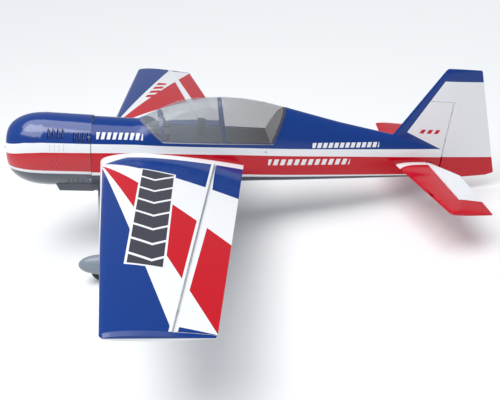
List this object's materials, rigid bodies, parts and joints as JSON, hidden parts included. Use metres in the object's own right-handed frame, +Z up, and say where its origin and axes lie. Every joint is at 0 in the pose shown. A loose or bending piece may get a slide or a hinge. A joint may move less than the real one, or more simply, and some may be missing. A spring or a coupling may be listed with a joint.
{
  "type": "radio-controlled aerobatic monoplane",
  "caption": "Radio-controlled aerobatic monoplane, taildragger, with hinged control surfaces worked by servo arms and pushrods, turning wheels and a lift-off canopy hatch.",
  "frame": {"origin": "on the ground under the middle of the parked model's bounding box", "axes": "+X towards the tail, +Y to starboard, +Z up; parked tail-down on its three wheels"},
  "size_m": [1.5978, 1.802, 0.4656],
  "materials": {
    "film_blue": "iron-on covering film, glossy",
    "film_white": "iron-on covering film, glossy",
    "film_red": "iron-on covering film, glossy",
    "cowl_paint": "painted glass-fibre, glossy",
    "grey_paint": "satin grey paint",
    "canopy_glass": "clear moulded canopy",
    "cockpit_grey": "matt",
    "rubber": "matt",
    "white_nylon": "moulded nylon",
    "steel": "bright",
    "cast_alloy": "bead-blasted",
    "plywood": "bare plywood",
    "black_plastic": "moulded",
    "tank_plastic": "translucent"
  },
  "bodies": {
    "airframe": {"fuselage": "film_blue", "fuselage_formers": "plywood", "cowl": "cowl_paint", "screws": "steel", "engine_box": "plywood", "engine_standoffs": "cast_alloy", "crankcase": "cast_alloy", "cylinder": "cast_alloy", "spark_plug": "steel", "muffler": "cast_alloy", "carburettor": "cast_alloy", "fuel_tank": "tank_plastic", "battery": "black_plastic", "receiver": "black_plastic", "left_wing": "film_blue", "right_wing": "film_blue", "wing_ribs": "plywood", "wing_tube": "cast_alloy", "wing_bolts": "white_nylon", "stabilizer": "film_red", "fin": "film_white", "surface_hinges": "white_nylon", "left_aileron_servo": "black_plastic", "right_aileron_servo": "black_plastic", "elevator_servo": "black_plastic", "rudder_servo": "black_plastic", "main_gear": "grey_paint", "axles": "steel", "left_wheel_fairing": "grey_paint", "right_wheel_fairing": "grey_paint", "tail_gear_bracket": "steel"},
    "left_aileron": {"left_aileron": "film_blue", "left_aileron_horn": "white_nylon"},
    "right_aileron": {"right_aileron": "film_blue", "right_aileron_horn": "white_nylon"},
    "elevator": {"left_elevator": "film_white", "right_elevator": "film_white", "elevator_joiner": "steel", "elevator_horn": "white_nylon"},
    "rudder": {"rudder": "film_white", "rudder_horn": "white_nylon"},
    "left_aileron_arm": {"left_aileron_arm": "white_nylon"},
    "left_aileron_pushrod": {"left_aileron_pushrod": "steel"},
    "right_aileron_arm": {"right_aileron_arm": "white_nylon"},
    "right_aileron_pushrod": {"right_aileron_pushrod": "steel"},
    "elevator_arm": {"elevator_arm": "white_nylon"},
    "elevator_pushrod": {"elevator_pushrod": "steel"},
    "rudder_arm": {"rudder_arm": "white_nylon"},
    "rudder_pushrod": {"rudder_pushrod": "steel"},
    "tail_fork": {"tail_fork": "steel"},
    "tail_wheel": {"tail_tyre": "rubber", "tail_wheel_hub": "white_nylon"},
    "left_wheel": {"left_tyre": "rubber", "left_wheel_hub": "white_nylon"},
    "right_wheel": {"right_tyre": "rubber", "right_wheel_hub": "white_nylon"},
    "propeller_shaft": {"propeller_hub": "steel"},
    "canopy": {"canopy_glass": "canopy_glass", "canopy_frame": "film_blue", "cockpit_floor": "cockpit_grey"}
  },
  "joints": [
    {"name": "left_aileron_hinge", "type": "hinge", "parent": "airframe", "child": "left_aileron", "pos_m": [-0.23235, -0.5, 0.27321], "axis": [-0.1649, -0.9857, 0.0342], "range_deg": [-22, 22]},
    {"name": "left_aileron_arm_turn", "type": "hinge", "parent": "airframe", "child": "left_aileron_arm", "pos_m": [-0.30625, -0.48742, 0.27966], "axis": [-0.1649, -0.9857, 0.0342], "range_deg": [-22, 22]},
    {"name": "left_aileron_pushrod_pivot", "type": "hinge", "parent": "left_aileron_arm", "child": "left_aileron_pushrod", "pos_m": [-0.31028, -0.48756, 0.256], "axis": [-0.1649, -0.9857, 0.0342], "range_deg": [-22, 22]},
    {"name": "right_aileron_hinge", "type": "hinge", "parent": "airframe", "child": "right_aileron", "pos_m": [-0.23235, 0.5, 0.27321], "axis": [0.1649, -0.9857, -0.0342], "range_deg": [-22, 22]},
    {"name": "right_aileron_arm_turn", "type": "hinge", "parent": "airframe", "child": "right_aileron_arm", "pos_m": [-0.30625, 0.48742, 0.27966], "axis": [0.1649, -0.9857, -0.0342], "range_deg": [-22, 22]},
    {"name": "right_aileron_pushrod_pivot", "type": "hinge", "parent": "right_aileron_arm", "child": "right_aileron_pushrod", "pos_m": [-0.31028, 0.48756, 0.256], "axis": [0.1649, -0.9857, -0.0342], "range_deg": [-22, 22]},
    {"name": "elevator_hinge", "type": "hinge", "parent": "airframe", "child": "elevator", "pos_m": [0.5478, 0, 0.13117], "axis": [0, -1, 0], "range_deg": [-25, 25]},
    {"name": "elevator_arm_turn", "type": "hinge", "parent": "airframe", "child": "elevator_arm", "pos_m": [0.32104, 0.05, 0.16962], "axis": [0, -1, 0], "range_deg": [-25, 25]},
    {"name": "elevator_pushrod_pivot", "type": "hinge", "parent": "elevator_arm", "child": "elevator_pushrod", "pos_m": [0.31702, 0.05, 0.14596], "axis": [0, -1, 0], "range_deg": [-25, 25]},
    {"name": "rudder_hinge", "type": "hinge", "parent": "airframe", "child": "rudder", "pos_m": [0.60239, 0, 0.13611], "axis": [0.1672, 0, 0.9859], "range_deg": [-28, 28]},
    {"name": "rudder_arm_turn", "type": "hinge", "parent": "airframe", "child": "rudder_arm", "pos_m": [0.3837, 0.014, 0.12045], "axis": [0.1672, 0, 0.9859], "range_deg": [-28, 28]},
    {"name": "rudder_pushrod_pivot", "type": "hinge", "parent": "rudder_arm", "child": "rudder_pushrod", "pos_m": [0.3837, 0.038, 0.12045], "axis": [0.1672, 0, 0.9859], "range_deg": [-28, 28]},
    {"name": "tail_wheel_steering", "type": "hinge", "parent": "airframe", "child": "tail_fork", "pos_m": [0.68596, 0, 0.03674], "axis": [0.1672, 0, 0.9859], "range_deg": [-28, 28]},
    {"name": "tail_wheel_axle", "type": "hinge", "parent": "tail_fork", "child": "tail_wheel", "pos_m": [0.69461, 0, 0.016], "axis": [0, 1, 0], "continuous": true},
    {"name": "left_wheel_axle", "type": "hinge", "parent": "airframe", "child": "left_wheel", "pos_m": [-0.5324, -0.255, 0.0415], "axis": [0, 1, 0], "continuous": true},
    {"name": "right_wheel_axle", "type": "hinge", "parent": "airframe", "child": "right_wheel", "pos_m": [-0.5324, 0.255, 0.0415], "axis": [0, 1, 0], "continuous": true},
    {"name": "propeller_shaft_turn", "type": "hinge", "parent": "airframe", "child": "propeller_shaft", "pos_m": [-0.771, 0, 0.369], "axis": [-0.9859, 0, 0.1672], "continuous": true},
    {"name": "canopy_lift", "type": "slide", "parent": "airframe", "child": "canopy", "axis": [0.1672, 0, 0.9859], "range_m": [0, 0.09]}
  ],
  "couplings": [
    {"joint": "right_aileron_hinge", "follows": "left_aileron_hinge", "ratio": -1},
    {"joint": "left_aileron_arm_turn", "follows": "left_aileron_hinge", "ratio": 1},
    {"joint": "left_aileron_pushrod_pivot", "follows": "left_aileron_hinge", "ratio": -1},
    {"joint": "right_aileron_arm_turn", "follows": "left_aileron_hinge", "ratio": -1},
    {"joint": "right_aileron_pushrod_pivot", "follows": "left_aileron_hinge", "ratio": 1},
    {"joint": "elevator_arm_turn", "follows": "elevator_hinge", "ratio": 1},
    {"joint": "elevator_pushrod_pivot", "follows": "elevator_hinge", "ratio": -1},
    {"joint": "rudder_arm_turn", "follows": "rudder_hinge", "ratio": 1},
    {"joint": "rudder_pushrod_pivot", "follows": "rudder_hinge", "ratio": -1},
    {"joint": "tail_wheel_steering", "follows": "rudder_hinge", "ratio": 1}
  ]
}
